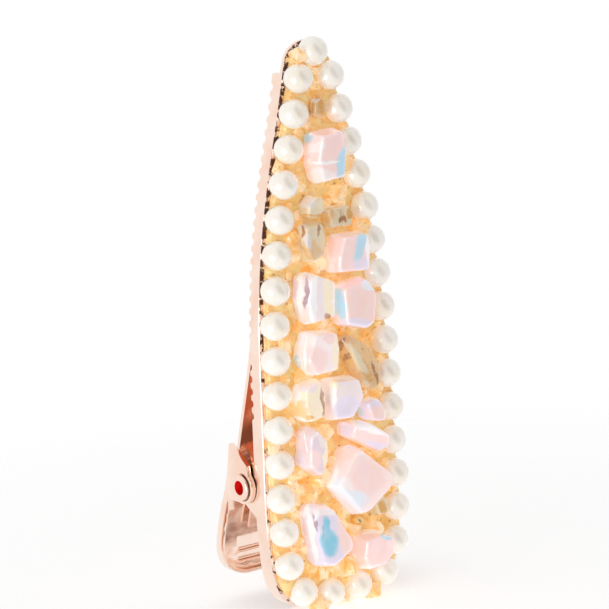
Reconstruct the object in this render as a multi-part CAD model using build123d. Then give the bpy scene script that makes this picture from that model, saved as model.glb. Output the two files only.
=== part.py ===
"""Rose-gold alligator hair clip with a teardrop plate set with pearls and crystal nuggets.

Shapes are drawn in plate coordinates: x across the clip, y behind the plate's front face,
and height above the plate's lower edge. The pieces are then moved so that the origin is
at the middle of the pivot rivet. All sizes are in millimetres.
"""

from build123d import *
import math
import os

# Plate
plate_length = 76.1
plate_half_width = 10.98
sheet = 0.6
plate_edge_ease = 0.35
flange_depth = 2.2
flange_top = plate_length - 4.1

# Scalloped grip teeth along the flange
tooth_pitch = 1.65
tooth_depth = 0.45
tooth_groove_radius = 0.5
teeth_low = 26.5

# Pivot and rivet
pivot_depth = 4.2
pivot_height = 17.5
rivet_radius = 1.25
rivet_bore_radius = 0.95
rivet_head_radius = 1.75
rivet_head_thickness = 0.45
running_clearance = 0.05
lug_radius = 2.3
lug_top = pivot_height + 3.9
lug_bottom = pivot_height - 4.3

# Lower jaw
jaw_gap = 0.4
ear_clearance = 0.06
jaw_tip = plate_length - 3.7
jaw_tip_depth = sheet + 0.8
jaw_tip_round = 1.2
jaw_middle = jaw_tip * 0.62
jaw_middle_depth = pivot_depth * 0.55
arm_low = 19.0
arm_low_half_width = plate_half_width - 0.53
arm_flare_top = 34.0
press_top = pivot_height + 4.5
press_bottom = 3.4
press_corner_round = 5.0
rim_width = 1.0
bead_width = 1.5
bead_setback = 0.9
bead_height = 0.35
bead_low = 23.5
bead_high = plate_length - 12.1

# Embossed grip bars on the thumb press
bar_setback = 2.48
bar_length = 2 * (plate_half_width - bar_setback)
bar_width = 1.1
bar_pitch = 1.4
bar_low = 5.8
bar_count = 2
emboss = 0.25

# Leaf spring
spring_thickness = 0.4
spring_half_width = plate_half_width - 3.38
spring_bend_radius = 1.6
spring_over_rivet = 1.2
spring_gap = 0.05
spring_plate_end = 8.6
spring_press_end = 10.3

# Pearls
pearl_count = 35
pearl_diameter = 4.0
pearl_setback = 1.45
pearl_setback_low = 2.2
pearl_low_height = 16.0
pearl_seat = 0.8

# Resin and stones
resin_height = 0.9
resin_setback = 0.45
stone_base_scale = 0.85
stone_face_scale = 0.86
stone_waist = 0.55

curve_steps = 24

# Half of the plate's outline, as shares of its half width and length, from the bottom up.
outline_shape = [
    (0.0, 0.0),
    (0.42, 0.003),
    (0.655, 0.0125),
    (0.81, 0.028),
    (0.92, 0.053),
    (0.977, 0.095),
    (1.0, 0.16),
    (0.978, 0.31),
    (0.95, 0.45),
    (0.83, 0.645),
    (0.537, 0.837),
    (0.425, 0.9),
    (0.332, 0.957),
    (0.272, 0.98),
    (0.152, 0.9945),
    (0.0, 1.0),
]

# Back surface of the lower jaw, depth and height, from its tip to the end of the thumb press.
jaw_back = [
    (jaw_tip_depth, jaw_tip),
    ((jaw_tip_depth + jaw_middle_depth) / 2, (jaw_tip + jaw_middle) / 2),
    (jaw_middle_depth, jaw_middle),
    (pivot_depth * 0.86, pivot_height + 18.5),
    (pivot_depth + 2.4, pivot_height + 5.5),
    (pivot_depth + 3.7, pivot_height),
    (pivot_depth + 5.2, pivot_height - 3.6),
    (pivot_depth + 6.8, pivot_height - 8.5),
    (pivot_depth + 7.5, press_bottom),
]

# The ears from the side, depth and height from the pivot: a horn above it and a cheek behind.
ear_horn = [(-1.35, 3.1), (1.9, 5.6), (4.8, 5.6), (4.8, -0.5)]
ear_cheek = [(-1.6, 1.1), (-1.3, 3.0), (4.8, 3.0), (7.8, -3.5), (4.8, -2.1), (0.4, -2.2)]

# Size of the field between the pearls that the stones are drawn for. They follow the real one.
drawn_half_width = 7.53
drawn_length = 76.1

# Stones: depth, lean towards the right, lean towards the top, and the outline at the waist.
nuggets = [
    (5.0, 0.05, 0.1, [(-2.0, 64.2), (1.6, 64.6), (2.3, 61.4), (2.1, 57.8), (-1.8, 57.5), (-2.5, 60.6)]),
    (5.0, 0.0, 0.05, [(-0.3, 47.6), (0.7, 50.5), (5.0, 50.4), (5.5, 48.4), (5.2, 45.0), (-0.4, 45.5)]),
    (4.8, -0.1, 0.1, [(-5.3, 45.6), (-4.0, 46.2), (-0.5, 44.7), (-0.3, 39.5), (-4.8, 39.2), (-5.7, 42.4)]),
    (5.1, 0.1, -0.05, [(0.3, 43.6), (4.6, 44.3), (5.7, 42.4), (5.0, 38.0), (3.6, 37.4), (0.3, 38.4)]),
    (4.9, -0.05, 0.1, [(-5.0, 38.4), (-0.9, 38.0), (-0.4, 35.6), (-0.6, 32.5), (-4.8, 32.4), (-6.2, 34.8)]),
    (4.6, -0.1, 0.0, [(-6.5, 31.4), (-3.4, 31.9), (-3.0, 29.0), (-3.3, 26.6), (-6.3, 26.4), (-6.9, 29.0)]),
    (4.9, 0.05, 0.1, [(-2.4, 31.6), (2.0, 31.4), (2.9, 28.6), (1.2, 25.7), (-2.2, 25.9), (-2.6, 28.6)]),
    (4.4, 0.1, -0.1, [(3.6, 27.3), (5.6, 27.8), (6.7, 26.0), (6.4, 24.4), (4.2, 24.7)]),
    (4.8, 0.1, 0.3, [(0.6, 25.1), (3.4, 24.9), (6.8, 22.6), (7.0, 20.9), (5.4, 20.3), (0.2, 23.3)]),
    (4.8, -0.1, 0.05, [(-6.6, 24.9), (-5.2, 25.7), (-3.3, 23.6), (-3.2, 20.8), (-4.8, 18.9), (-6.9, 20.6)]),
    (5.5, 0.05, 0.05, [(-2.9, 17.3), (0.3, 21.9), (1.5, 22.0), (6.7, 17.3), (6.4, 15.6), (2.4, 12.4), (0.8, 12.4)]),
    (5.3, 0.1, 0.0, [(-6.9, 14.0), (-6.2, 15.3), (-3.6, 14.9), (-0.7, 9.8), (-0.6, 8.4), (-3.8, 6.3), (-5.8, 6.9)]),
    (5.2, 0.0, 0.1, [(1.2, 9.2), (4.6, 9.6), (6.4, 8.5), (6.3, 6.2), (4.9, 4.9), (1.8, 4.6), (0.9, 6.6)]),
]
drops = [
    (4.3, 0.05, 0.1, [(0.6, 36.4), (2.2, 36.8), (4.6, 35.0), (6.3, 32.0), (6.5, 29.6), (5.4, 28.5), (3.6, 29.8)]),
]
chips = [
    (3.6, -0.05, 0.2, [(-3.7, 55.0), (-2.4, 56.1), (-0.9, 55.6), (-0.7, 53.8), (-2.2, 53.0), (-3.8, 53.4)]),
    (3.8, -0.1, 0.0, [(-4.3, 52.4), (-1.4, 52.6), (-0.8, 50.4), (-1.4, 47.9), (-3.6, 47.3), (-4.7, 49.8)]),
    (3.4, 0.15, 0.0, [(-0.3, 53.9), (3.0, 54.2), (3.9, 52.9), (3.3, 51.2), (0.2, 51.3)]),
    (2.6, 0.1, 0.1, [(-0.9, 68.4), (0.6, 68.7), (1.2, 67.2), (0.4, 65.9), (-0.9, 66.4)]),
    (3.2, 0.1, 0.0, [(4.6, 13.6), (6.0, 14.6), (7.1, 13.0), (6.9, 11.2), (5.2, 11.3)]),
]
gold_bead_radius = 0.95
gold_bead_lift = 1.5
gold_bead_place = (2.9, 10.9)

to_pivot = Location((0, -pivot_depth, -pivot_height))
ear_inside = plate_half_width + ear_clearance
ear_outside = ear_inside + sheet
arm_setback = sheet + jaw_gap


def beside(curve, distance, closed=False):
    """A curve to the left of another, at a distance given as a number or for each point."""
    steps = curve_steps * 4 if closed else curve_steps
    spots = [step / steps for step in range(steps if closed else steps + 1)]
    ways = [(curve % spot).normalized() for spot in spots]
    gap = distance if callable(distance) else lambda place: distance
    moved = [(curve @ spot) + Vector(-way.Y, way.X) * gap(curve @ spot) for spot, way in zip(spots, ways)]
    if closed:
        return Spline(*moved, periodic=True)
    return Spline(*moved, tangents=[ways[0], ways[-1]])


def outline(setback):
    """The plate's outline from the bottom centre and back to it, moved inwards by a setback."""
    right = [(x * plate_half_width, h * plate_length) for x, h in outline_shape]
    left = [(-x, h) for x, h in right[-2:0:-1]]
    return beside(Spline(*right, *left, periodic=True), setback, closed=True)


def teardrop(setback):
    """The space inside the outline."""
    return make_face(outline(setback))


def band(outer, inner):
    return teardrop(outer) - teardrop(inner)


def rectangle(low, high):
    """A rectangle between two opposite corners."""
    width, height = high[0] - low[0], high[1] - low[1]
    return Pos(low[0] + width / 2, low[1] + height / 2) * Rectangle(width, height)


def from_front(sketch, front, back):
    """Extrudes a sketch of x and height from one depth to another."""
    return extrude(Plane.XZ.offset(-front) * sketch, amount=front - back)


def from_side(sketch, half_width):
    """Extrudes a sketch of depth and height to both sides of the middle."""
    return extrude(Plane.YZ * sketch, amount=half_width, both=True)


def pivot_hole():
    place = Pos(0, pivot_depth, pivot_height) * Rot(0, 90, 0)
    return place * Cylinder(rivet_radius + running_clearance, 4 * plate_half_width)


def lug_profile():
    """The lug that carries the rivet, rounded about the pivot."""
    eye = Pos(pivot_depth, pivot_height) * Circle(lug_radius)
    root = rectangle((sheet, lug_bottom), (flange_depth - tooth_depth, lug_top))
    return make_hull((eye + root).edges())


def tooth_grooves():
    """Round grooves across both flanges, which leave the scalloped teeth between them."""
    count = int((flange_top - teeth_low) / tooth_pitch)
    centre = flange_depth + tooth_groove_radius - tooth_depth
    groove = Rot(0, 90, 0) * Cylinder(tooth_groove_radius, 4 * plate_half_width)
    return [Pos(0, centre, teeth_low + tooth_pitch * (i + 0.5)) * groove for i in range(count)]


def rounded_plate():
    """The plate itself, whose front edge is eased in two flats."""
    steps = [(plate_edge_ease, 0), (plate_edge_ease * 0.3, plate_edge_ease * 0.3), (0, plate_edge_ease)]
    faces = [Plane.XZ.offset(-depth) * teardrop(setback) for setback, depth in steps]
    eased = [loft([near, far], ruled=True) for near, far in zip(faces, faces[1:])]
    return from_front(teardrop(0), plate_edge_ease, sheet) + eased


def upper_jaw():
    below_tip = rectangle((-2 * plate_half_width, -1), (2 * plate_half_width, flange_top))
    flange = from_front(band(0, sheet) & below_tip, sheet / 2 + plate_edge_ease / 2, flange_depth)
    lug_reach = pivot_depth + lug_radius
    lugs = from_front(band(0, sheet), sheet, lug_reach) & from_side(lug_profile(), 2 * plate_half_width)
    return rounded_plate() + (flange - tooth_grooves()) + lugs - pivot_hole()


def jaw_layer(front, back):
    """The space between two surfaces that follow the lower jaw's back surface."""
    surface = Spline(*jaw_back)
    near, far = beside(surface, -front), beside(surface, back)
    ends = [Line(near @ 0, far @ 0), Line(near @ 1, far @ 1)]
    return from_side(make_face([near, far, *ends]), 2 * plate_half_width)


def press_outline(setback):
    """The thumb press seen from behind, moved inwards by a setback."""
    width = ear_outside - setback
    plain = rectangle((-width, press_bottom + setback), (width, press_top))
    return fillet(plain.vertices().sort_by(Axis.Y)[:2], press_corner_round - setback)


def arm_outline():
    window = rectangle((-plate_half_width, arm_low), (plate_half_width, jaw_tip))
    arm = teardrop(arm_setback) & window
    arm = fillet(arm.vertices().sort_by(Axis.Y)[-2:], jaw_tip_round)
    waist = (arm & rectangle((-plate_half_width, arm_flare_top), (plate_half_width, jaw_tip))).bounding_box().max.X
    flare = Trapezoid(2 * arm_low_half_width, arm_flare_top - arm_low, flare_angle(waist))
    return arm + Pos(0, (arm_low + arm_flare_top) / 2) * flare


def flare_angle(waist):
    """The slope of the arm's lower edges, which widen from its waist to the ears."""
    return math.degrees(math.atan2(arm_flare_top - arm_low, arm_low_half_width - waist))


def ear_profile():
    """One ear from the side: a horn above the pivot, and a round nose about it."""
    nose = Pos(pivot_depth, pivot_height) * Circle(lug_radius)
    horn = Polygon(*ear_horn, align=None)
    cheek = Polygon(*ear_cheek, align=None)
    return nose + Pos(pivot_depth, pivot_height) * (horn + cheek)


def lower_jaw():
    body = jaw_layer(sheet, 0)
    back_depth = jaw_back[-1][0] + 2
    shell = body & from_front(arm_outline() + press_outline(0), -1, back_depth)
    rim = jaw_layer(rim_width, 0) & from_front(press_outline(0) - press_outline(sheet), -1, back_depth)
    side_space = jaw_layer(back_depth, 0) & from_side(ear_profile(), ear_outside)
    ears = side_space - from_side(ear_profile(), ear_inside)
    beads = jaw_layer(0, bead_height) & from_front(bead_outline(), -1, back_depth)
    bars = jaw_layer(0, emboss) & from_front(bar_outline(bar_width), -1, back_depth + 1)
    troughs = (jaw_layer(sheet, -sheet + emboss)) & from_front(bar_outline(bar_width - emboss), -1, back_depth)
    return shell + rim + ears + beads + bars - troughs - pivot_hole()


def bead_outline():
    """Raised beads with round ends that run along both edges of the arm."""
    edge = outline(arm_setback + bead_setback + bead_width / 2)
    places = [edge @ (step / curve_steps / 2) for step in range(curve_steps)]
    line = Spline(*[place for place in places if bead_low < place.Y < bead_high])
    ends = [Pos(*(line @ end)) * Circle(bead_width / 2) for end in (0, 1)]
    bead = trace(line, bead_width) + ends
    return bead + mirror(bead, Plane.YZ)


def bar_outline(width):
    bars = [Pos(0, bar_low + i * bar_pitch) * SlotOverall(bar_length, width) for i in range(bar_count)]
    return Sketch() + bars


def pivot_rivet():
    half = ear_outside + running_clearance + rivet_head_thickness
    tube = Rot(0, 90, 0) * Cylinder(rivet_radius, 2 * half)
    head = Rot(0, 90, 0) * Cylinder(rivet_head_radius, rivet_head_thickness)
    head = fillet(head.edges().filter_by(GeomType.CIRCLE), rivet_head_thickness * 0.45)
    middle = half - rivet_head_thickness / 2
    bore = Rot(0, 90, 0) * Cylinder(rivet_bore_radius, 3 * half)
    return Pos(0, pivot_depth, pivot_height) * (tube + Pos(middle, 0, 0) * head + Pos(-middle, 0, 0) * head - bore)


def leaf_spring():
    """A flat spring bent about the rivet, one leg on the plate and one on the thumb press."""
    half = spring_thickness / 2
    surface = Spline(*jaw_back)
    reach = [surface @ (step / 200) for step in range(201)]
    press_back = min(reach, key=lambda p: abs(p.Y - spring_press_end)).X
    bend_reach = rivet_radius + running_clearance + spring_thickness
    bend_top = pivot_height + spring_bend_radius + spring_over_rivet
    line = FilletPolyline(
        (sheet + spring_gap + half, spring_plate_end),
        (pivot_depth - bend_reach, bend_top),
        (pivot_depth + bend_reach, bend_top),
        (press_back - sheet - emboss - 3 * half, spring_press_end),
        radius=spring_bend_radius,
    )
    return from_side(trace(line, spring_thickness), spring_half_width)


def setback_at(place):
    """The pearls keep further in from the edge round the plate's lower end."""
    low_share = max(0, 1 - place.Y / pearl_low_height)
    return pearl_setback + (pearl_setback_low - pearl_setback) * low_share


def pearl(point):
    """A pearl with a flat back, which is glued to the plate's face."""
    ball = Pos(point.X, -pearl_seat * pearl_diameter / 2, point.Y) * Sphere(pearl_diameter / 2)
    size = [pearl_diameter] * 3
    behind = Box(*size, align=(Align.CENTER, Align.MIN, Align.CENTER))
    return ball - Pos(point.X, 0, point.Y) * behind


def ring_of_pearls(line):
    """Pearls evenly placed round the plate, the first at its tip."""
    shares = [(0.5 + number / pearl_count) % 1 for number in range(pearl_count)]
    return [pearl(line @ share) for share in shares]


def in_field(x, height, field_half_width):
    """A drawn place moved to where it belongs between the pearls."""
    return x * field_half_width / drawn_half_width, height * plate_length / drawn_length


def stone(field_half_width, depth, lean_right, lean_up, drawn):
    """A tumbled block: narrow at the plate, widest at its waist, with a slanted face."""
    corners = [in_field(*corner, field_half_width) for corner in drawn]
    x_middle = sum(x for x, _ in corners) / len(corners)
    h_middle = sum(h for _, h in corners) / len(corners)
    points = []
    for x, h in corners:
        dx, dh = x - x_middle, h - h_middle
        face_depth = depth + lean_right * dx + lean_up * dh
        for scale, y in ((stone_base_scale, 0), (1, -depth * stone_waist), (stone_face_scale, -face_depth)):
            points.append((x_middle + scale * dx, y, h_middle + scale * dh))
    return ConvexPolyhedron(points)


def golden_bead(field_half_width):
    x, height = in_field(*gold_bead_place, field_half_width)
    return Pos(x, -gold_bead_lift, height) * Sphere(gold_bead_radius)


def resin_bed(set_pieces):
    """Clear glue that fills the plate's face between everything that is set in it."""
    bed = from_front(teardrop(resin_setback), -resin_height, 0)
    return bed - set_pieces


def build():
    parts = {}
    pearl_line = beside(outline(0), setback_at, closed=True)
    field_half_width = plate_half_width - pearl_setback - pearl_diameter / 2
    for number, shape in enumerate(ring_of_pearls(pearl_line), 1):
        parts[f"pearl_{number:02d}"] = shape
    for kind, stones in (("nugget", nuggets), ("drop", drops), ("chip", chips)):
        for number, shape in enumerate(stones, 1):
            parts[f"{kind}_{number:02d}"] = stone(field_half_width, *shape)
    parts["golden_bead"] = golden_bead(field_half_width)
    parts["resin_bed"] = resin_bed(list(parts.values()))
    parts["upper_jaw"] = upper_jaw()
    parts["lower_jaw"] = lower_jaw()
    parts["pivot_rivet"] = pivot_rivet()
    parts["leaf_spring"] = leaf_spring()
    return parts


os.makedirs("parts", exist_ok=True)
for name, shape in build().items():
    export_step(to_pivot * shape, f"parts/{name}.step")
    print(name, len(shape.solids()), round(shape.volume, 2))
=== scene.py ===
import math
import random

import bpy
from mathutils import Matrix, Vector, noise
from mathutils.bvhtree import BVHTree


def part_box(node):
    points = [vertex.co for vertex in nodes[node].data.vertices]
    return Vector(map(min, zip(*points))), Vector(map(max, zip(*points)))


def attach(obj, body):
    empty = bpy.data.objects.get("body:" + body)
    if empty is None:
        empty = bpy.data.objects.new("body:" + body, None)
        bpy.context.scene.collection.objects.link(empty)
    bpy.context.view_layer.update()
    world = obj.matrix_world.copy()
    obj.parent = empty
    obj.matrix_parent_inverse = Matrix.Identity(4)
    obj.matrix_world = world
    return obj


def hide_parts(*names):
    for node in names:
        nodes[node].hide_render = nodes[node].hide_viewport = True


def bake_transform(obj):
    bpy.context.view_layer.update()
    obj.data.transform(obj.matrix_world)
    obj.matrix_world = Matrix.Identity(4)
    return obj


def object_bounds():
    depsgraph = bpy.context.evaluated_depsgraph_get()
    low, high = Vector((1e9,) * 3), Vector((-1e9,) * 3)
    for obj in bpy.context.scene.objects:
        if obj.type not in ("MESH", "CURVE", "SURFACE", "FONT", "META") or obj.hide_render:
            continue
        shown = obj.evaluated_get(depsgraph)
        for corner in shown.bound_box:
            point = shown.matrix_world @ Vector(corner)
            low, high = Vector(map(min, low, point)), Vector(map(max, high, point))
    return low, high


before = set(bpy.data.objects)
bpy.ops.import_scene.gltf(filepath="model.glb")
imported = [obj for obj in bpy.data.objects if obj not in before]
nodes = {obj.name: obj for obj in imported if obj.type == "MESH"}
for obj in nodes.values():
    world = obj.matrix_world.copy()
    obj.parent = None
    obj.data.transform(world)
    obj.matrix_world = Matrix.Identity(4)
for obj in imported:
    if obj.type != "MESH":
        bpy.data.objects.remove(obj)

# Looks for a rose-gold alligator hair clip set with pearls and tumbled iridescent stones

MM = 0.001
CRUMB_COUNT = 120
STONE_EDGE = 0.42 * MM
CRYSTAL_EDGE = 0.32 * MM
PLATE_EDGE = 0.08 * MM
PRESS_EDGE = 0.09 * MM
RIVET_EDGE = 0.05 * MM
BEAD_EDGE = 0.01 * MM
MERGE_DISTANCE = 0.002 * MM
SMALLEST_PEARL = 0.982
SPRING_CUTS = 16
CAMERA_DISTANCE = 0.4
FLOOR_RADIUS = 0.3
cad_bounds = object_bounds()
plate_low, plate_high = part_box("upper_jaw")
plate_face = plate_low.y
random.seed(7)

# Colours, as linear red, green and blue
ROSE_GOLD = (0.97, 0.79, 0.69)
ROSE_DEEP = (0.95, 0.68, 0.56)
EDGE_COPPER = (0.78, 0.40, 0.27)
EDGE_DEEP = (0.66, 0.30, 0.18)
PEARL_WHITE = (1.0, 0.95, 0.88)
PEARL_CREAM = (1.0, 0.89, 0.77)
WHITE = (0.97, 0.96, 0.95)
MILK = (0.96, 0.86, 0.85)
CHALK = (0.88, 0.79, 0.78)
PINK = (0.97, 0.72, 0.68)
BLUSH = (0.97, 0.77, 0.74)
LILAC = (0.80, 0.74, 0.87)
DUSK = (0.80, 0.68, 0.72)
PLUM = (0.45, 0.30, 0.36)
SKY = (0.46, 0.74, 0.88)
TEAL = (0.26, 0.62, 0.78)
ICE = (0.80, 0.87, 0.95)
CREAM = (0.97, 0.86, 0.62)
CHAMPAGNE = (0.96, 0.66, 0.34)
HONEY = (0.86, 0.52, 0.17)
UMBER = (0.45, 0.24, 0.11)


# ---------------------------------------------------------------- shader building

class Socket:
    """A node's output that takes part in arithmetic. Each operation adds one Math node."""

    def __init__(self, finish, socket):
        self.finish = finish
        self.socket = socket

    def math(self, operation, first, second=0.0):
        inputs = {0: first, 1: second}
        return self.finish.node("ShaderNodeMath", {"operation": operation}, inputs)

    def __add__(self, other):
        return self.math("ADD", self, other)

    def __radd__(self, other):
        return self.math("ADD", other, self)

    def __sub__(self, other):
        return self.math("SUBTRACT", self, other)

    def __rsub__(self, other):
        return self.math("SUBTRACT", other, self)

    def __mul__(self, other):
        return self.math("MULTIPLY", self, other)

    def __rmul__(self, other):
        return self.math("MULTIPLY", other, self)

    def __pow__(self, other):
        return self.math("POWER", self, other)


class Finish:
    """The node tree of a material or of the world."""

    def __init__(self, owner):
        owner.use_nodes = True
        self.owner = owner
        self.tree = owner.node_tree
        self.tree.nodes.clear()

    def node(self, kind, settings=None, inputs=None, output=0):
        """Adds a node: its settings first, then its sockets' values or links."""
        made = self.tree.nodes.new(kind)
        for name, value in (settings or {}).items():
            setattr(made, name, value)
        for name, value in (inputs or {}).items():
            if isinstance(value, Socket):
                self.tree.links.new(value.socket, made.inputs[name])
            else:
                if made.inputs[name].type == "RGBA" and len(value) == 3:
                    value = (*value, 1.0)
                made.inputs[name].default_value = value
        return Socket(self, made.outputs[output])

    def mix(self, factor, first, second, blend="MIX"):
        settings = {"data_type": "RGBA", "blend_type": blend}
        return self.node("ShaderNodeMix", settings, {0: factor, 6: first, 7: second}, 2)

    def place(self):
        """The point on the piece, in millimetres."""
        spot = self.node("ShaderNodeTexCoord", output="Object")
        inputs = {0: spot, "Scale": 1 / MM}
        return self.node("ShaderNodeVectorMath", {"operation": "SCALE"}, inputs)

    def noise(self, place, scale, detail=3.0, roughness=0.5, distortion=0.0):
        inputs = {"Vector": place, "Scale": scale, "Detail": detail, "Roughness": roughness}
        inputs["Distortion"] = distortion
        return self.node("ShaderNodeTexNoise", {}, inputs, "Fac")

    def step(self, value, low, high):
        """0 below low, 1 above high and smooth between them."""
        settings = {"interpolation_type": "SMOOTHSTEP"}
        inputs = {"Value": value, "From Min": low, "From Max": high}
        return self.node("ShaderNodeMapRange", settings, inputs)

    def dot(self, way, axis):
        """How far a direction leans along an axis."""
        inputs = {0: way, 1: tuple(axis)}
        return self.node("ShaderNodeVectorMath", {"operation": "DOT_PRODUCT"}, inputs, "Value")

    def bump(self, height, distance, strength=1.0, normal=None):
        inputs = {"Height": height, "Distance": distance * MM, "Strength": strength}
        if normal:
            inputs["Normal"] = normal
        return self.node("ShaderNodeBump", {}, inputs)

    def surface(self, inputs):
        self.output("Material", self.node("ShaderNodeBsdfPrincipled", {}, inputs))
        return self.owner

    def output(self, kind, shader):
        out = self.tree.nodes.new("ShaderNodeOutput" + kind)
        self.tree.links.new(shader.socket, out.inputs["Surface"])


def new_finish(name):
    return Finish(bpy.data.materials.new(name))


# ---------------------------------------------------------------- finishes

def scratches(finish, place, direction, scale):
    """Hairline scratches, long in one direction."""
    stretched = finish.node(
        "ShaderNodeMapping", {"vector_type": "POINT"}, {"Vector": place, "Scale": direction}
    )
    lines = finish.noise(stretched, scale, detail=5.0, roughness=0.65)
    return finish.step(lines, 0.60, 0.72)


def rose_gold_finish(name, roughness, grain=(0.15, 1.0, 1.0), light=ROSE_GOLD, deep=ROSE_DEEP):
    """Plated sheet: bright, a little wavy, with faint drawing lines, smudges and fine scratches.

    Painted shade darkens speckled corners beside the plate's rim, more so higher up, and a ring round
    the rivet's heads on their front side; a painted red reflection glows on the inside of the jaws, as
    gold does where it mirrors itself.
    """
    finish = new_finish(name)
    place = finish.place()
    x, y, z = (finish.node("ShaderNodeSeparateXYZ", {}, {"Vector": place}, axis) for axis in "XYZ")
    patina = finish.noise(place, 0.22, detail=4.0)
    smudge = finish.step(finish.noise(place, 0.6, detail=2.0, distortion=0.6), 0.45, 0.72)
    hairs = scratches(finish, place, grain, 6.0)
    colour = finish.mix(finish.step(patina, 0.35, 0.75), light, deep)
    colour = finish.mix(hairs * 0.12, colour, (1.0, 0.86, 0.78))

    # painted shade: a speckled dark strip beside the plate's rim, wider higher up, and a dark ring round
    # the rivet's heads on their front side
    upper = finish.step(z, 12.0, 34.0)
    beside_rim = 1 - finish.step(y - upper * 0.10, plate_face / MM + 0.02, plate_face / MM + 0.10)
    specks = finish.noise(place, 1.3, detail=4.0) + upper * 0.10
    out = (y * y + z * z) ** 0.5
    ring = finish.step(out, 1.70, 1.76) * (1 - finish.step(out, 1.86, 1.98))
    round_rivet = ring * (1 - finish.step(y, -0.6, 0.5))
    painted_shade = beside_rim * finish.step(specks, 0.53, 0.60) + round_rivet * 0.9
    colour = finish.mix(painted_shade, colour, (0.10, 0.035, 0.018))

    # painted reflection: a red glow on the forward-facing faces inside the jaws
    facing_in = finish.node("ShaderNodeAttribute", {"attribute_name": "faces_front"}, output="Fac")
    between = 1 - finish.step(x.math("ABSOLUTE", x), 9.9, 10.7)
    inside = facing_in * between * finish.step(y, -3.5, -3.2) * finish.step(z, -1.0, 3.0)
    warm = finish.mix(finish.noise(place, 0.35, detail=3.0), (0.50, 0.10, 0.045), (0.62, 0.20, 0.09))
    painted_glow = finish.mix(inside, (0.0, 0.0, 0.0), warm)
    waves = finish.bump(finish.noise(place, 0.35, detail=1.0), 0.05, 0.5)
    peel = finish.bump(finish.noise(place, 5.0, detail=2.0), 0.004, 0.6, waves)
    return finish.surface({
        "Base Color": colour,
        "Metallic": 1.0 - painted_shade * 0.6,
        "Roughness": roughness + smudge * 0.07 + hairs * 0.08 + painted_shade * 0.3,
        "Normal": finish.bump(hairs, 0.003, 0.5, peel),
        "Emission Color": painted_glow,
        "Emission Strength": 0.34,
    })


def rivet_finish():
    """The hollow rivet: bright heads, and a bore painted deep red with glowing patches, a painted
    reflection of the gold in itself.
    """
    finish = new_finish("rivet_plating")
    place = finish.place()
    y, z = (finish.node("ShaderNodeSeparateXYZ", {}, {"Vector": place}, axis) for axis in "YZ")
    out = (y * y + z * z) ** 0.5
    bore = 1 - finish.step(out, 0.96, 1.02)
    hairs = scratches(finish, place, (1.0, 0.3, 0.3), 5.0)
    colour = finish.mix(finish.noise(place, 0.8, detail=3.0), ROSE_GOLD, ROSE_DEEP)
    # painted reflection: the bore is coloured deep red and glows in patches, as gold mirroring itself
    colour = finish.mix(bore, colour, (0.60, 0.04, 0.03))
    lit = finish.step(finish.noise(place, 0.9, detail=2.0), 0.40, 0.60)
    lit = finish.mix(lit, (0.16, 0.004, 0.003), (0.62, 0.014, 0.010))
    painted_glow = finish.mix(bore, (0.0, 0.0, 0.0), lit)
    return finish.surface({
        "Base Color": colour,
        "Metallic": 1.0,
        "Roughness": 0.12 + hairs * 0.12 + bore * 0.15,
        "Normal": finish.bump(hairs, 0.003, 0.5),
        "Emission Color": painted_glow,
        "Emission Strength": 0.45,
    })


def pearl_finish():
    """Lacquered pearl: a soft half-metallic body under a clear gloss, with faint pink and green."""
    finish = new_finish("pearl_lacquer")
    place = finish.place()
    cloud = finish.noise(place, 0.35, detail=3.0)
    body = finish.mix(finish.step(cloud, 0.35, 0.7), PEARL_WHITE, PEARL_CREAM)
    blush = finish.step(finish.noise(place, 0.5), 0.4, 0.65)
    tinge = finish.mix(blush, (1.0, 0.88, 0.82), (0.95, 0.94, 0.84))
    colour = finish.mix(finish.step(finish.noise(place, 0.8), 0.5, 0.7) * 0.5, body, tinge)
    grain = finish.noise(place, 14.0, detail=3.0)
    bump = finish.bump(grain, 0.003, 0.3)
    bump = finish.bump(finish.noise(place, 0.9, detail=1.0), 0.03, 0.25, bump)
    return finish.surface({
        "Base Color": colour,
        "Metallic": 0.15,
        "Roughness": 0.22 + grain * 0.08,
        "Normal": bump,
        "Subsurface Weight": 0.3,
        "Subsurface Radius": (1.0, 0.8, 0.6),
        "Subsurface Scale": 0.8 * MM,
        "Coat Weight": 1.0,
        "Coat Roughness": 0.03,
        "Coat IOR": 1.7,
        # painted light: a faint glow in the pearl's own colour brightens it
        "Emission Color": colour,
        "Emission Strength": 0.13,
    })


def film_and_painted_highlight_colours(finish, place, node, body, patches):
    """The film's colours and painted highlights, laid on a stone in soft-edged ovals as they are seen
    from the front left.
    """
    left, width, bottom, height = seen_size(node)
    right, up, _ = view_axes()
    waves = {"Vector": place, "Scale": 0.55, "Detail": 2.0}
    ripple = finish.node("ShaderNodeTexNoise", {}, waves, "Color")
    ripple = finish.node("ShaderNodeVectorMath", {"operation": "SCALE"}, {0: ripple, "Scale": 1.1})
    moved = finish.node("ShaderNodeVectorMath", {"operation": "ADD"}, {0: place, 1: ripple})
    shift = 0.55 * (right.x + right.y + right.z), 0.55 * (up.x + up.y + up.z)
    flat = {"X": finish.dot(moved, right) - shift[0], "Y": finish.dot(moved, up) - shift[1]}
    flat = finish.node("ShaderNodeCombineXYZ", {}, flat)
    colour = finish.mix(0.0, body, body)
    # the patches lay film colours and painted highlights
    for film, across, along, half_width, half_height, turn in patches:
        oval = finish.node("ShaderNodeMapping", {"vector_type": "TEXTURE"}, {
            "Vector": flat,
            "Location": (left + across * width, bottom + along * height, 0.0),
            "Rotation": (0.0, 0.0, math.radians(turn)),
            "Scale": (half_width * width, half_height * height, 1.0),
        })
        reach = finish.node("ShaderNodeVectorMath", {"operation": "LENGTH"}, {0: oval}, "Value")
        colour = finish.mix(1 - finish.step(reach, 0.75, 1.25), colour, film)
    return colour


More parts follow.
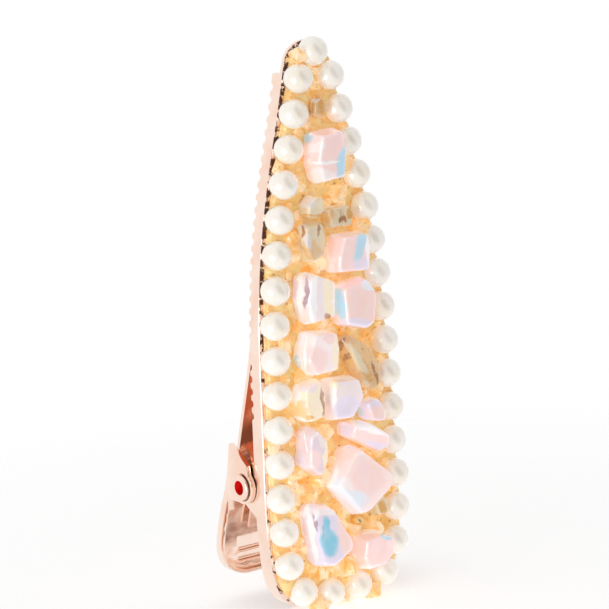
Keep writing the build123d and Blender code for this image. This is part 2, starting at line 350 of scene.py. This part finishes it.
def seen_size(node):
    """The extent of a piece across and up the view from the front left, in millimetres."""
    right, up, _ = view_axes()
    points = [vertex.co / MM for vertex in nodes[node].data.vertices]
    across = [point.dot(right) for point in points]
    along = [point.dot(up) for point in points]
    return min(across), max(across) - min(across), min(along), max(along) - min(along)


def nugget_finish(node, body, patches):
    """Tumbled glass under an iridescent film, with rougher worn edges painted paler as rim highlights,
    and a faint painted glow.
    """
    finish = new_finish(node + "_film")
    place = finish.place()
    rim_wear_and_highlight = finish.node("ShaderNodeAttribute", {"attribute_name": "rim_wear_and_highlight"}, output="Fac")
    veil = finish.noise(place, 0.6, detail=4.0, distortion=1.2)
    stretch = {"Vector": place, "Rotation": (0.4, 0.5, 0.2), "Scale": (1.0, 1.0, 0.25)}
    flow = finish.node("ShaderNodeMapping", {}, stretch)
    streaks = finish.step(finish.noise(flow, 0.9, detail=3.0, distortion=0.8), 0.52, 0.64)
    colour = film_and_painted_highlight_colours(finish, place, node, body, patches)
    colour = finish.mix(finish.step(veil, 0.42, 0.7) * 0.15, colour, MILK)
    colour = finish.mix(streaks * 0.16, colour, LILAC)
    # painted highlight: the rims are whitened; their extra roughness is wear
    colour = finish.mix(rim_wear_and_highlight * (0.35 + veil * 0.5), colour, (0.99, 0.97, 0.96))
    pits = finish.step(finish.noise(place, 3.2, detail=2.0), 0.68, 0.76)
    bump = finish.bump(finish.noise(place, 0.45, detail=1.0), 0.18, 0.5)
    bump = finish.bump(pits, 0.008, 0.3, bump)
    return finish.surface({
        "Base Color": colour,
        "Roughness": 0.06 + pits * 0.2 + rim_wear_and_highlight * 0.12 + veil * 0.05,
        "Normal": bump,
        "IOR": 1.5,
        "Transmission Weight": 0.10,
        "Subsurface Weight": 0.5,
        "Subsurface Radius": (1.0, 0.85, 0.9),
        "Subsurface Scale": 0.7 * MM,
        "Coat Weight": 1.0,
        "Coat Roughness": 0.02,
        "Coat IOR": 1.6,
        "Thin Film Thickness": 380.0,
        "Thin Film IOR": 1.6,
        # painted light: the stone glows in its own colour
        "Emission Color": colour,
        "Emission Strength": 0.26,
    })


def champagne_finish(node, body, patches):
    """Clear champagne crystal: amber depths, pale veils and fine inner cracks, with rims painted paler
    as highlights and a faint painted glow.
    """
    finish = new_finish(node + "_crystal")
    place = finish.place()
    rim_wear_and_highlight = finish.node("ShaderNodeAttribute", {"attribute_name": "rim_wear_and_highlight"}, output="Fac")
    veil = finish.step(finish.noise(place, 0.7, detail=4.0, distortion=1.5), 0.45, 0.65)
    stretch = {"Vector": place, "Rotation": (0.1, 0.5, 0.2), "Scale": (1.0, 1.0, 0.3)}
    flow = finish.node("ShaderNodeMapping", {}, stretch)
    cracks = finish.step(finish.noise(flow, 0.9, detail=3.0, distortion=1.0), 0.60, 0.68)
    colour = film_and_painted_highlight_colours(finish, place, node, body, patches)
    colour = finish.mix(veil * 0.25, colour, (1.0, 0.93, 0.78))
    colour = finish.mix(cracks * 0.5, colour, UMBER)
    # painted highlight: the rims are whitened
    colour = finish.mix(rim_wear_and_highlight * 0.6, colour, (1.0, 0.97, 0.90))
    bump = finish.bump(finish.noise(place, 0.6, detail=3.0), 0.25, 0.7)
    bump = finish.bump(finish.noise(place, 6.0), 0.006, 0.3, bump)
    return finish.surface({
        "Base Color": colour,
        "Roughness": 0.04 + veil * 0.06,
        "Normal": bump,
        "IOR": 1.54,
        "Transmission Weight": 0.25,
        "Subsurface Weight": 0.4,
        "Subsurface Radius": (1.0, 0.8, 0.5),
        "Subsurface Scale": 0.5 * MM,
        "Coat Weight": 1.0,
        "Coat Roughness": 0.02,
        # painted light: a faint glow in the stone's own colour
        "Emission Color": colour,
        "Emission Strength": 0.08,
    })


def resin_finish():
    """Honey-coloured glue: pale and glossy on top, painted shade turning it deep amber in the narrow
    gaps, bubbles whose pits are painted dark, and a painted glow.
    """
    finish = new_finish("honey_resin")
    place = finish.place()
    # the tint carries painted shade: deep amber in the narrow gaps
    paint = finish.node("ShaderNodeAttribute", {"attribute_name": "tint"}, output="Color")
    depth = finish.noise(place, 0.55, detail=4.0, distortion=0.8)
    colour = finish.mix(finish.step(depth, 0.40, 0.60) * 0.7, paint, (0.92, 0.47, 0.11))
    cells = {"Vector": place, "Scale": 0.7}
    bubbles = finish.node("ShaderNodeTexVoronoi", {"feature": "F1"}, cells, "Distance")
    # painted shade: the bubble pits are coloured dark
    shaded_bubble_pits = 1 - finish.step(bubbles, 0.09, 0.15)
    colour = finish.mix(shaded_bubble_pits * 0.6, colour, (0.35, 0.12, 0.03))
    bump = finish.bump(finish.noise(place, 0.7, detail=3.0), 0.6, 1.0)
    bump = finish.bump(finish.noise(place, 2.2, detail=3.0, distortion=0.5), 0.14, 1.0, bump)
    bump = finish.bump(1 - shaded_bubble_pits, 0.05, 0.6, bump)
    return finish.surface({
        "Base Color": colour,
        "Roughness": 0.05 + depth * 0.08,
        "Normal": bump,
        "IOR": 1.5,
        "Subsurface Weight": 0.4,
        "Subsurface Radius": (1.0, 0.55, 0.2),
        "Subsurface Scale": 0.5 * MM,
        "Coat Weight": 1.0,
        "Coat Roughness": 0.02,
        "Coat IOR": 1.6,
        # painted light: the glue glows in its own colour
        "Emission Color": colour,
        "Emission Strength": 0.26,
    })


def crumb_finish():
    """Broken clear glue: pale champagne to honey, with bright chipped faces."""
    finish = new_finish("glue_crumb")
    place = finish.place()
    tone = finish.noise(place, 0.45, detail=3.0)
    colour = finish.mix(finish.step(tone, 0.38, 0.62), (1.0, 0.86, 0.60), (0.95, 0.60, 0.20))
    flaws = finish.step(finish.noise(place, 2.4, detail=3.0), 0.60, 0.68)
    colour = finish.mix(flaws * 0.5, colour, UMBER)
    bump = finish.bump(finish.noise(place, 1.6, detail=2.0), 0.12, 0.7)
    return finish.surface({
        "Base Color": colour,
        "Roughness": 0.04 + flaws * 0.15,
        "Normal": bump,
        "IOR": 1.5,
        "Transmission Weight": 0.30,
        "Coat Weight": 1.0,
        "Coat Roughness": 0.02,
        # painted light: the crumbs glow in their own colour
        "Emission Color": colour,
        "Emission Strength": 0.22,
    })


def gold_bead_finish():
    finish = new_finish("gold_bead")
    place = finish.place()
    colour = finish.mix(finish.noise(place, 0.9), (0.90, 0.62, 0.26), (0.96, 0.74, 0.40))
    bump = finish.bump(finish.noise(place, 3.0), 0.03, 0.4)
    return finish.surface({
        "Base Color": colour,
        "Metallic": 0.9,
        "Roughness": 0.22 + finish.noise(place, 4.0) * 0.1,
        "Normal": bump,
    })


# ---------------------------------------------------------------- modelling helpers

def only(piece):
    """Selects one object and makes it active."""
    bpy.ops.object.select_all(action="DESELECT")
    piece.select_set(True)
    bpy.context.view_layer.objects.active = piece


def apply(piece, kind, **settings):
    """Adds a modifier with its settings and applies it."""
    only(piece)
    modifier = piece.modifiers.new(kind.title(), kind)
    for name, value in settings.items():
        setattr(modifier, name, value)
    bpy.ops.object.modifier_apply(modifier=modifier.name)


def copy_node(node, name):
    """A merged copy of a CAD node's mesh as a new piece."""
    piece = bpy.data.objects.new(name, nodes[node].data.copy())
    bpy.context.scene.collection.objects.link(piece)
    only(piece)
    bpy.ops.object.mode_set(mode="EDIT")
    bpy.ops.mesh.select_all(action="SELECT")
    bpy.ops.mesh.remove_doubles(threshold=MERGE_DISTANCE)
    bpy.ops.object.mode_set(mode="OBJECT")
    return piece


def finish_piece(piece, material, body, slot, *replaced):
    piece.data.materials.clear()
    piece.data.materials.append(material)
    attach(piece, body)
    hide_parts(*replaced)


def smooth_by_angle(piece, degrees):
    only(piece)
    bpy.ops.object.shade_smooth_by_angle(angle=math.radians(degrees))


def tree_of(names):
    """A search tree over the surfaces of some CAD nodes."""
    points, faces = [], []
    for name in names:
        mesh = nodes[name].data
        start = len(points)
        points += [v.co.copy() for v in mesh.vertices]
        faces += [[start + i for i in face.vertices] for face in mesh.polygons]
    return BVHTree.FromPolygons(points, faces)


# ---------------------------------------------------------------- pearls

def make_pearl():
    """One pearl about the origin, with its flat back at a positive y."""
    low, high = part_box("pearl_10")
    radius = (high.x - low.x) / 2
    bpy.ops.object.select_all(action="DESELECT")
    bpy.ops.mesh.primitive_uv_sphere_add(segments=48, ring_count=24, radius=radius)
    pearl = bpy.context.object
    back = (high.y - low.y) - radius
    bpy.ops.object.mode_set(mode="EDIT")
    bpy.ops.mesh.select_all(action="SELECT")
    bpy.ops.mesh.bisect(plane_co=(0, back, 0), plane_no=(0, 1, 0), use_fill=True, clear_outer=True)
    bpy.ops.object.mode_set(mode="OBJECT")
    smooth_by_angle(pearl, 50)
    return pearl


def set_pearls(material):
    model = make_pearl()
    for name in sorted(n for n in nodes if n.startswith("pearl_")):
        low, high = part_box(name)
        pearl = model.copy()
        pearl.data = model.data.copy()
        pearl.name = name + "_lacquered"
        bpy.context.scene.collection.objects.link(pearl)
        radius = (high.z - low.z) / 2
        centre = Vector(((low.x + high.x) / 2, low.y + radius, (low.z + high.z) / 2))
        size = random.uniform(SMALLEST_PEARL, 1.0)
        pearl.data.transform(Matrix.Translation(centre) @ Matrix.Diagonal((size, 1, size, 1)))
        finish_piece(pearl, material, "plate_side", "pearl", name)
    bpy.data.objects.remove(model)


# ---------------------------------------------------------------- stones

# Each stone's body colour, then its patches of film colour and painted highlight: colour, middle from
# the left and the bottom, half width and half height, all as shares of the stone seen from the front
# left, then the turn in degrees
NUGGET_COLOURS = {
    "nugget_01": (PINK, [
        (MILK, 0.30, 0.62, 0.28, 0.09, 10),
        (MILK, 0.40, 0.10, 0.42, 0.15, 5),
        (SKY, 0.17, 0.82, 0.14, 0.11, 0),
        (SKY, 0.90, 0.38, 0.10, 0.30, -8),
        # painted highlight: a thin white streak across the front facet
        (WHITE, 0.55, 0.36, 0.30, 0.03, 8),
    ]),
    "nugget_02": (PINK, [
        (MILK, 0.10, 0.30, 0.14, 0.50, 20),
        (SKY, 0.80, 0.62, 0.10, 0.42, -15),
        (LILAC, 0.85, 0.15, 0.20, 0.20, 0),
        (WHITE, 0.97, 0.55, 0.05, 0.45, 0),
        (MILK, 0.40, 0.95, 0.40, 0.08, 0),
    ]),
    "nugget_03": (CHALK, [
        (LILAC, 0.10, 0.45, 0.14, 0.50, 0),
        (WHITE, 0.26, 0.50, 0.06, 0.45, 0),
        (PLUM, 0.39, 0.60, 0.045, 0.32, 0),
        (WHITE, 0.55, 0.50, 0.09, 0.48, 0),
        (PLUM, 0.09, 0.82, 0.03, 0.18, 0),
        # painted highlight: cream on the right
        (CREAM, 0.86, 0.50, 0.10, 0.42, 0),
        (UMBER, 0.83, 0.12, 0.06, 0.10, 0),
        (WHITE, 0.96, 0.45, 0.03, 0.45, 0),
    ]),
    "nugget_04": (PINK, [
        (SKY, 0.30, 0.46, 0.12, 0.32, 12),
        (ICE, 0.86, 0.83, 0.14, 0.12, 0),
        (LILAC, 0.60, 0.08, 0.35, 0.12, 0),
        (WHITE, 0.10, 0.25, 0.06, 0.25, 10),
        (MILK, 0.20, 0.88, 0.20, 0.10, 0),
    ]),
    "nugget_05": (MILK, [
        (PINK, 0.52, 0.35, 0.25, 0.30, 0),
        (ICE, 0.20, 0.80, 0.15, 0.15, 0),
        (SKY, 0.15, 0.24, 0.09, 0.20, 0),
        (WHITE, 0.33, 0.50, 0.035, 0.38, 0),
        # painted highlight: cream on the right
        (CREAM, 0.93, 0.60, 0.07, 0.50, 0),
        (PINK, 0.80, 0.80, 0.12, 0.12, 0),
    ]),
    "nugget_06": (CREAM, [
        # painted highlight: white at the upper left
        (WHITE, 0.22, 0.68, 0.16, 0.22, 20),
        (CHALK, 0.55, 0.80, 0.25, 0.12, 0),
        (CHAMPAGNE, 0.35, 0.30, 0.25, 0.20, 0),
        (UMBER, 0.93, 0.45, 0.05, 0.35, 0),
        (WHITE, 0.30, 0.08, 0.25, 0.05, 0),
        (HONEY, 0.60, 0.12, 0.12, 0.06, 0),
    ]),
    "nugget_07": (CHALK, [
        (LILAC, 0.70, 0.25, 0.30, 0.28, 0),
        # painted highlight: a white vertical streak
        (WHITE, 0.40, 0.60, 0.06, 0.32, 0),
        (CREAM, 0.36, 0.80, 0.05, 0.10, 0),
        (CREAM, 0.45, 0.80, 0.05, 0.10, 0),
        (WHITE, 0.50, 0.95, 0.45, 0.05, 0),
        (WHITE, 0.15, 0.40, 0.05, 0.35, 5),
    ]),
    "nugget_08": (LILAC, [
        (SKY, 0.16, 0.42, 0.16, 0.30, 0),
        (PINK, 0.75, 0.30, 0.30, 0.30, 0),
        (WHITE, 0.5, 0.92, 0.4, 0.1, 0),
    ]),
    "nugget_09": (PINK, [
        (WHITE, 0.60, 0.82, 0.50, 0.13, -22),
        (LILAC, 0.20, 0.70, 0.16, 0.20, -20),
        (LILAC, 0.80, 0.15, 0.25, 0.15, -20),
    ]),
    "nugget_10": (DUSK, [
        (LILAC, 0.30, 0.20, 0.25, 0.22, 0),
        (CHALK, 0.85, 0.75, 0.12, 0.22, 15),
        (WHITE, 0.45, 0.55, 0.02, 0.40, 12),
        (CREAM, 0.92, 0.45, 0.06, 0.35, 0),
        (PINK, 0.60, 0.35, 0.20, 0.20, 0),
    ]),
    "nugget_11": (BLUSH, [
        (ICE, 0.33, 0.28, 0.33, 0.24, -28),
        (MILK, 0.42, 0.46, 0.12, 0.10, 0),
        (WHITE, 0.15, 0.45, 0.04, 0.30, -25),
        (PINK, 0.66, 0.55, 0.22, 0.22, 0),
    ]),
    "nugget_12": (LILAC, [
        (WHITE, 0.30, 0.55, 0.05, 0.45, 8),
        (DUSK, 0.20, 0.60, 0.04, 0.40, 8),
        (WHITE, 0.12, 0.50, 0.04, 0.40, 8),
        (PLUM, 0.36, 0.75, 0.03, 0.18, 8),
        (PINK, 0.88, 0.45, 0.12, 0.45, 15),
        (TEAL, 0.60, 0.38, 0.15, 0.20, 5),
        (TEAL, 0.54, 0.62, 0.07, 0.18, 8),
        (MILK, 0.60, 0.90, 0.30, 0.08, 0),
    ]),
    "nugget_13": (PINK, [
        (WHITE, 0.04, 0.50, 0.06, 0.45, 0),
        (WHITE, 0.50, 0.97, 0.50, 0.05, 0),
        (SKY, 0.86, 0.84, 0.12, 0.07, -15),
        # painted highlight: a small white spot
        (WHITE, 0.16, 0.66, 0.04, 0.05, 0),
        (MILK, 0.60, 0.06, 0.40, 0.06, 0),
    ]),
}
CHAMPAGNE_COLOURS = {
    "drop_01": (CHAMPAGNE, [
        (UMBER, 0.22, 0.80, 0.05, 0.16, -35),
        (UMBER, 0.34, 0.62, 0.07, 0.10, -35),
        # painted highlight: a thin white streak
        (WHITE, 0.40, 0.70, 0.03, 0.26, 35),
        (HONEY, 0.72, 0.35, 0.10, 0.26, 30),
        (CREAM, 0.55, 0.55, 0.08, 0.30, 35),
        (UMBER, 0.90, 0.30, 0.03, 0.22, 15),
        (CREAM, 0.60, 0.12, 0.20, 0.06, 0),
    ]),
    "chip_01": (CREAM, [
        (WHITE, 0.45, 0.65, 0.30, 0.22, 0),
        (UMBER, 0.08, 0.40, 0.05, 0.30, 0),
        (HONEY, 0.5, 0.1, 0.4, 0.08, 0),
    ]),
    "chip_02": (CREAM, [
        (WHITE, 0.30, 0.90, 0.20, 0.10, 0),
        (HONEY, 0.18, 0.55, 0.05, 0.35, 0),
        (UMBER, 0.35, 0.72, 0.04, 0.14, 0),
        (CHAMPAGNE, 0.60, 0.30, 0.25, 0.25, 0),
        (UMBER, 0.82, 0.75, 0.04, 0.16, 0),
        (WHITE, 0.5, 0.5, 0.1, 0.2, 20),
    ]),
    "chip_03": (CREAM, [
        (CHAMPAGNE, 0.30, 0.50, 0.20, 0.25, 0),
        (UMBER, 0.66, 0.35, 0.05, 0.16, -18),
        (UMBER, 0.76, 0.35, 0.05, 0.16, 18),
        (WHITE, 0.25, 0.85, 0.25, 0.08, 0),
        (HONEY, 0.9, 0.6, 0.1, 0.2, 0),
    ]),
    "chip_04": (CHAMPAGNE, [
        (UMBER, 0.15, 0.5, 0.06, 0.4, 10),
        (WHITE, 0.5, 0.8, 0.2, 0.1, 0),
        (HONEY, 0.75, 0.4, 0.15, 0.4, 0),
    ]),
    "chip_05": (CREAM, [
        (UMBER, 0.25, 0.45, 0.07, 0.3, 10),
        (WHITE, 0.6, 0.7, 0.15, 0.2, 0),
        (HONEY, 0.8, 0.3, 0.12, 0.3, 0),
    ]),
}


def tumble(node, name, rounding):
    """A CAD stone with its facets joined, its edges worn round and its faces dented a little."""
    piece = copy_node(node, name)
    only(piece)
    bpy.ops.object.mode_set(mode="EDIT")
    bpy.ops.mesh.select_all(action="SELECT")
    bpy.ops.mesh.dissolve_limited(angle_limit=math.radians(9))
    bpy.ops.object.mode_set(mode="OBJECT")
    settings = {"segments": 4, "limit_method": "ANGLE", "angle_limit": math.radians(12)}
    apply(piece, "BEVEL", width=rounding, **settings)
    mark_rim_wear_and_highlight(piece.data, 0.9 * rounding * rounding)
    apply(piece, "TRIANGULATE", min_vertices=5)
    apply(piece, "SUBSURF", subdivision_type="SIMPLE", levels=2)
    seed = Vector((number_of(node), 0, 0))
    normals = [vertex.normal.copy() for vertex in piece.data.vertices]
    for vertex, normal in zip(piece.data.vertices, normals):
        spot = vertex.co / (2.6 * MM) + seed
        dent = noise.noise(spot) * 0.12 * MM + noise.noise(spot * 2.3) * 0.05 * MM
        vertex.co -= normal * abs(dent)
    fill_box(piece, node)
    only(piece)
    bpy.ops.object.shade_smooth()
    return piece


def fill_box(piece, node):
    """Gives a rounded stone back the little that its rounding took off its size."""
    low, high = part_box(node)
    points = [vertex.co for vertex in piece.data.vertices]
    own_low = Vector([min(point[axis] for point in points) for axis in range(3)])
    own_high = Vector([max(point[axis] for point in points) for axis in range(3)])
    sizes = [(high[axis] - low[axis]) / (own_high[axis] - own_low[axis]) for axis in range(3)]
    to_origin, back = Matrix.Translation(-own_low), Matrix.Translation(low)
    piece.data.transform(back @ Matrix.Diagonal((*sizes, 1)) @ to_origin)


def mark_rim_wear_and_highlight(mesh, largest):
    """Marks the vertices in the middle of the rounded edges, where every face about them is small."""
    worn = [1.0] * len(mesh.vertices)
    for face in mesh.polygons:
        if face.area > largest:
            for number in face.vertices:
                worn[number] = 0.0
    layer = mesh.attributes.new("rim_wear_and_highlight", "FLOAT", "POINT")
    for value, amount in zip(layer.data, worn):
        value.value = amount


def number_of(name):
    """A steady number for a name."""
    return sum(ord(letter) * (place + 3) for place, letter in enumerate(name)) % 97


def set_stones():
    for node, (body, patches) in NUGGET_COLOURS.items():
        piece = tumble(node, node + "_polished", STONE_EDGE)
        finish_piece(piece, nugget_finish(node, body, patches), "plate_side", "iridescent_stone", node)
    for node, (body, patches) in CHAMPAGNE_COLOURS.items():
        piece = tumble(node, node + "_polished", CRYSTAL_EDGE)
        finish_piece(piece, champagne_finish(node, body, patches), "plate_side", "champagne_stone", node)


# ---------------------------------------------------------------- resin

def pour_resin(material):
    """The glue's skin: low between the stones, and drawn up against everything set in it."""
    low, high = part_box("resin_bed")
    piece = copy_node("resin_bed", "resin_pour")
    apply(piece, "REMESH", mode="VOXEL", voxel_size=0.26 * MM)
    set_in = tree_of([n for n in nodes if n.startswith(("pearl", "nugget", "drop", "chip"))])
    top = low.y
    layer = piece.data.color_attributes.new("tint", "FLOAT_COLOR", "POINT")
    for number, vertex in enumerate(piece.data.vertices):
        front = min(max((high.y - vertex.co.y) / (high.y - top), 0), 1)
        gap = set_in.find_nearest(Vector((vertex.co.x, top, vertex.co.z)))[3]
        # painted shade: the tint turns deep amber where the glue lies in narrow gaps beside the set
        # pieces
        gap_shade = math.exp(-gap / (0.30 * MM)) * (0.6 + noise.noise(vertex.co / (1.2 * MM)))
        pale, deep = Vector((0.98, 0.72, 0.30)), Vector((0.68, 0.28, 0.04))
        layer.data[number].color = (*pale.lerp(deep, min(max(gap_shade, 0), 1)), 1.0)
        if front > 0.5:
            climb = 0.7 * MM * math.exp(-gap / (0.45 * MM))
            lump = (0.3 + noise.noise(vertex.co / (1.4 * MM))) * 0.45 * MM
            vertex.co.y -= (climb + lump) * front
    apply(piece, "SMOOTH", factor=0.5, iterations=3)
    only(piece)
    bpy.ops.object.shade_smooth()
    finish_piece(piece, material, "plate_side", "resin", "resin_bed")


def make_crumb():
    """One broken crumb of clear glue, 1.3 mm across before it is sized."""
    bpy.ops.object.select_all(action="DESELECT")
    bpy.ops.mesh.primitive_cube_add(size=1.3 * MM)
    crumb = bpy.context.object
    for way in ((1, 1, 1), (-1, 1, 0.5), (1, -0.7, -1), (-0.5, -1, 1)):
        normal = Vector(way).normalized()
        bpy.ops.object.mode_set(mode="EDIT")
        bpy.ops.mesh.select_all(action="SELECT")
        spot = normal * 0.62 * MM
        bpy.ops.mesh.bisect(plane_co=spot, plane_no=normal, use_fill=True, clear_outer=True)
        bpy.ops.object.mode_set(mode="OBJECT")
    settings = {"segments": 1, "limit_method": "ANGLE", "angle_limit": math.radians(20)}
    apply(crumb, "BEVEL", width=0.10 * MM, **settings)
    smooth_by_angle(crumb, 25)
    return crumb


def scatter_crumbs(material):
    """Crumbs of broken glue and crystal, half sunk in the resin wherever there is room for one."""
    low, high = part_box("resin_bed")
    set_in = tree_of([n for n in nodes if n.startswith(("pearl", "nugget", "drop", "chip"))])
    bed = tree_of(["resin_bed"])
    model = make_crumb()
    crumbs = []
    while len(crumbs) < CRUMB_COUNT:
        spot = Vector((random.uniform(low.x, high.x), low.y, random.uniform(low.z, high.z)))
        room = set_in.find_nearest(spot)[3]
        on_bed = bed.find_nearest(spot)[3] < 0.02 * MM
        if not on_bed or room < 0.25 * MM:
            continue
        size = min(random.uniform(0.7, 2.0), room / MM * 1.7 + 0.3)
        spot.y -= random.uniform(0.2, 0.9) * MM * size
        turn = Matrix.Rotation(random.uniform(0, 6), 4, "X")
        turn = turn @ Matrix.Rotation(random.uniform(0, 6), 4, "Z")
        crumb = model.copy()
        crumb.data = model.data.copy()
        crumb.data.transform(Matrix.Translation(spot) @ turn @ Matrix.Scale(size, 4))
        bpy.context.scene.collection.objects.link(crumb)
        crumbs.append(crumb)
    bpy.data.objects.remove(model)
    only(crumbs[0])
    for crumb in crumbs:
        crumb.select_set(True)
    bpy.ops.object.join()
    crumbs[0].name = "resin_crumbs"
    finish_piece(crumbs[0], material, "plate_side", "resin", "resin_bed")


# ---------------------------------------------------------------- metal

def ease_edges(piece, bevel, last_material):
    settings = {"width": bevel, "segments": 2, "limit_method": "ANGLE", "angle_limit": math.radians(38)}
    apply(piece, "BEVEL", material=last_material, **settings)


def plate_metal(node, materials, body, bevel):
    """A metal piece with its stamped edges eased. A second material goes on the eased edges."""
    piece = copy_node(node, node + "_plated")
    piece.data.materials.clear()
    for material in materials:
        piece.data.materials.append(material)
    ease_edges(piece, bevel, len(materials) - 1)
    layer = piece.data.attributes.new("faces_front", "FLOAT", "FACE")
    for value, face in zip(layer.data, piece.data.polygons):
        value.value = float(face.normal.y < -0.25)
    smooth_by_angle(piece, 32)
    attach(piece, body)
    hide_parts(node)


def set_golden_bead(material):
    piece = copy_node("golden_bead", "golden_bead_polished")
    ease_edges(piece, BEAD_EDGE, 0)
    smooth_by_angle(piece, 60)
    finish_piece(piece, material, "plate_side", "gold_bead", "golden_bead")


def bend_spring(material):
    """The leaf spring, cut across into even bands along its height."""
    low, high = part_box("leaf_spring")
    piece = copy_node("leaf_spring", "leaf_spring_strip")
    only(piece)
    for number in range(1, SPRING_CUTS):
        height = low.z + (high.z - low.z) * number / SPRING_CUTS
        bpy.ops.object.mode_set(mode="EDIT")
        bpy.ops.mesh.select_all(action="SELECT")
        bpy.ops.mesh.bisect(plane_co=(0, 0, height), plane_no=(0, 0, 1))
        bpy.ops.object.mode_set(mode="OBJECT")
    smooth_by_angle(piece, 35)
    piece.data.materials.clear()
    piece.data.materials.append(material)
    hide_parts("leaf_spring")
    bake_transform(piece)


# ---------------------------------------------------------------- studio

def floor_finish():
    """White paper that fades out with distance, so that it has no far edge."""
    finish = new_finish("paper_floor")
    place = finish.place()
    distance = finish.node("ShaderNodeVectorMath", {"operation": "LENGTH"}, {0: place}, "Value")
    fade = finish.step(distance, 45.0, 130.0)
    tooth = finish.bump(finish.noise(place, 3.0), 0.02, 0.2)
    paper = finish.node("ShaderNodeBsdfPrincipled", {}, {
        "Base Color": (0.93, 0.93, 0.93),
        "Normal": tooth,
        "Emission Color": (1.0, 1.0, 1.0),
        "Emission Strength": 0.42,
        "Specular IOR Level": 0.0,
    })
    clear = finish.node("ShaderNodeBsdfTransparent", {}, {"Color": (1.0, 1.0, 1.0)})
    finish.output("Material", finish.node("ShaderNodeMixShader", {}, {0: fade, 1: paper, 2: clear}))
    return finish.owner


def lay_floor():
    bpy.ops.object.select_all(action="DESELECT")
    spot = (0, 0, cad_bounds[0].z)
    bpy.ops.mesh.primitive_circle_add(vertices=64, radius=FLOOR_RADIUS, fill_type="NGON", location=spot)
    floor = bpy.context.object
    floor.name = "paper_floor"
    bpy.ops.object.transform_apply(location=True)
    floor.data.materials.append(floor_finish())
    floor.visible_glossy = False


def view_axes():
    """The camera's right, up and backward directions."""
    azimuth, elevation, roll = math.radians(-36), math.radians(11.1), math.radians(-3.53)
    flat = math.cos(elevation)
    back = Vector((math.sin(azimuth) * flat, -math.cos(azimuth) * flat, math.sin(elevation)))
    level = Vector((math.cos(azimuth), math.sin(azimuth), 0))
    rise = back.cross(level)
    right = level * math.cos(roll) + rise * math.sin(roll)
    up = rise * math.cos(roll) - level * math.sin(roll)
    return right, up, back


def place_camera(right, up, back):
    target = Vector((-3.75, -5.8, 24.18)) * MM
    data = bpy.data.cameras.new("camera")
    data.lens = 180.2
    data.sensor_width = 36
    data.clip_start = 0.01
    camera = bpy.data.objects.new("camera", data)
    bpy.context.scene.collection.objects.link(camera)
    stand = Matrix.Translation(target + back * CAMERA_DISTANCE)
    camera.matrix_world = stand @ Matrix((right, up, back)).transposed().to_4x4()
    bpy.context.scene.camera = camera
    return target


def area_light(name, target, direction, distance, size, power):
    data = bpy.data.lights.new(name, "AREA")
    data.shape = "DISK"
    data.size = size
    data.energy = power
    light = bpy.data.objects.new(name, data)
    light.location = target + direction.normalized() * distance
    light.rotation_euler = direction.to_track_quat("Z", "Y").to_euler()
    light.visible_camera = False
    bpy.context.scene.collection.objects.link(light)
    return light


def paint_world(right, up, back):
    """Pale surroundings, with a darker patch where the camera stands, on a white background."""
    world = bpy.data.worlds.new("studio")
    bpy.context.scene.world = world
    finish = Finish(world)
    way = finish.node("ShaderNodeTexCoord", output="Generated")
    across = right * 0.85 + up * 0.53
    along = right * 0.53 - up * 0.85
    aside = (finish.dot(way, across) - 0.51) * 3.2
    rise = (finish.dot(way, along) - 0.09) * 1.3
    band = 1 - finish.step(aside * aside + rise * rise, 0.3, 1.6)
    band = band * finish.step(finish.dot(way, back), 0.05, 0.3)
    mirrored = finish.mix(band, (1.0, 0.98, 0.96), (0.34, 0.26, 0.18))
    glossy = finish.node("ShaderNodeLightPath", output="Is Glossy Ray")
    shade = finish.mix(glossy, (0.47, 0.47, 0.47), mirrored)
    seen = finish.node("ShaderNodeLightPath", output="Is Camera Ray")
    colour = finish.mix(seen, shade, (1.0, 1.0, 1.0))
    finish.output("World", finish.node("ShaderNodeBackground", {}, {"Color": colour, "Strength": 1.0}))


def light_studio():
    right, up, back = view_axes()
    target = place_camera(right, up, back)
    paint_world(right, up, back)
    area_light("key_low_left", target, right * -0.63 - up * 0.30 + back * 0.72, 0.55, 0.36, 0.95)
    fill = area_light("top_soft", target, up * 0.9 - right * 0.2 + back * 0.3, 0.6, 0.4, 0.5)
    fill.visible_glossy = False
    bpy.context.scene.view_settings.view_transform = "Standard"
    bpy.context.scene.view_settings.look = "None"


# ---------------------------------------------------------------- the clip

def dress_clip():
    polished = rose_gold_finish("rose_gold_polished", 0.10)
    satin = rose_gold_finish("rose_gold_satin", 0.2, grain=(1.0, 0.2, 0.2))
    cut_edge = rose_gold_finish("rose_gold_cut_edge", 0.18, light=EDGE_COPPER, deep=EDGE_DEEP)
    plate_metal("upper_jaw", [polished], "plate_side", PLATE_EDGE)
    plate_metal("lower_jaw", [polished, cut_edge], "press_side", PRESS_EDGE)
    plate_metal("pivot_rivet", [rivet_finish()], "plate_side", RIVET_EDGE)
    bend_spring(satin)
    set_pearls(pearl_finish())
    set_stones()
    pour_resin(resin_finish())
    scatter_crumbs(crumb_finish())
    set_golden_bead(gold_bead_finish())


dress_clip()
lay_floor()
light_studio()
